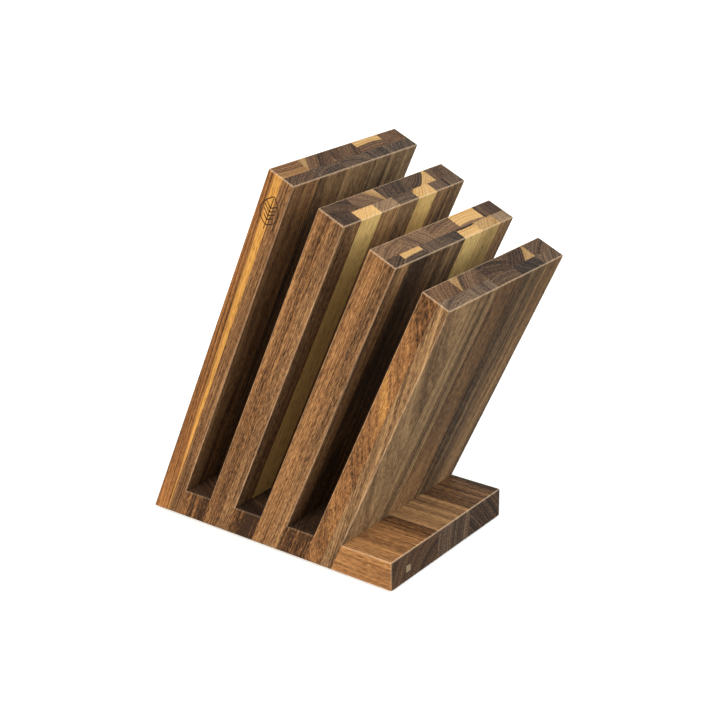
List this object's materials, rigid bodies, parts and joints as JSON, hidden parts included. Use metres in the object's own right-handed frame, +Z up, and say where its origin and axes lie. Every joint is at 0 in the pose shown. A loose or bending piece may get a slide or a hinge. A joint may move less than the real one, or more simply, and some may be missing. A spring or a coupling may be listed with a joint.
{
  "type": "magnetic knife block",
  "caption": "Leaning magnetic knife block: stepped laminated walnut boards with open slots between them, spacers at the base, a propping foot and rubber pads.",
  "frame": {"origin": "middle of the underside of the whole object's box, on the worktop that the rubber pads stand on", "axes": "+X from the tall back board towards the foot, the way the boards lean; +Y across the boards, away from the near side; +Z up"},
  "size_m": [0.2422, 0.124, 0.2525],
  "materials": {
    "walnut": "oiled walnut, satin",
    "dowel": "plain beech dowel",
    "magnet": "nickel-plated magnet bar",
    "pad": "matt black rubber"
  },
  "bodies": {
    "root": {"board_1_back_stave_1": "walnut", "board_1_back_stave_2": "walnut", "board_1_back_stave_3": "walnut", "board_1_back_stave_4": "walnut", "board_1_back_stave_5": "walnut", "board_1_front_stave_1": "walnut", "board_1_front_stave_2": "walnut", "board_1_front_stave_3": "walnut", "board_1_front_stave_4": "walnut", "board_1_front_stave_5": "walnut", "magnet_bar_1": "magnet", "board_2_back_stave_1": "walnut", "board_2_back_stave_2": "walnut", "board_2_back_stave_3": "walnut", "board_2_back_stave_4": "walnut", "board_2_back_stave_5": "walnut", "board_2_front_stave_1": "walnut", "board_2_front_stave_2": "walnut", "board_2_front_stave_3": "walnut", "board_2_front_stave_4": "walnut", "board_2_front_stave_5": "walnut", "board_2_front_stave_6": "walnut", "board_2_front_stave_7": "walnut", "magnet_bar_2": "magnet", "board_3_back_stave_1": "walnut", "board_3_back_stave_2": "walnut", "board_3_back_stave_3": "walnut", "board_3_back_stave_4": "walnut", "board_3_back_stave_5": "walnut", "board_3_front_stave_1": "walnut", "board_3_front_stave_2": "walnut", "board_3_front_stave_3": "walnut", "board_3_front_stave_4": "walnut", "board_3_front_stave_5": "walnut", "board_3_front_stave_6": "walnut", "board_3_front_stave_7": "walnut", "magnet_bar_3": "magnet", "board_4_back_stave_1": "walnut", "board_4_back_stave_2": "walnut", "board_4_back_stave_3": "walnut", "board_4_back_stave_4": "walnut", "board_4_back_stave_5": "walnut", "board_4_front_stave_1": "walnut", "board_4_front_stave_2": "walnut", "board_4_front_stave_3": "walnut", "board_4_front_stave_4": "walnut", "board_4_front_stave_5": "walnut", "magnet_bar_4": "magnet", "spacer_1": "walnut", "spacer_2": "walnut", "spacer_3": "walnut", "foot_stave_1": "walnut", "foot_stave_2": "walnut", "foot_stave_3": "walnut", "foot_dowel_near": "dowel", "foot_dowel_far": "dowel", "rubber_pad_back_near": "pad", "rubber_pad_back_far": "pad", "rubber_pad_front_near": "pad", "rubber_pad_front_far": "pad"}
  },
  "joints": []
}
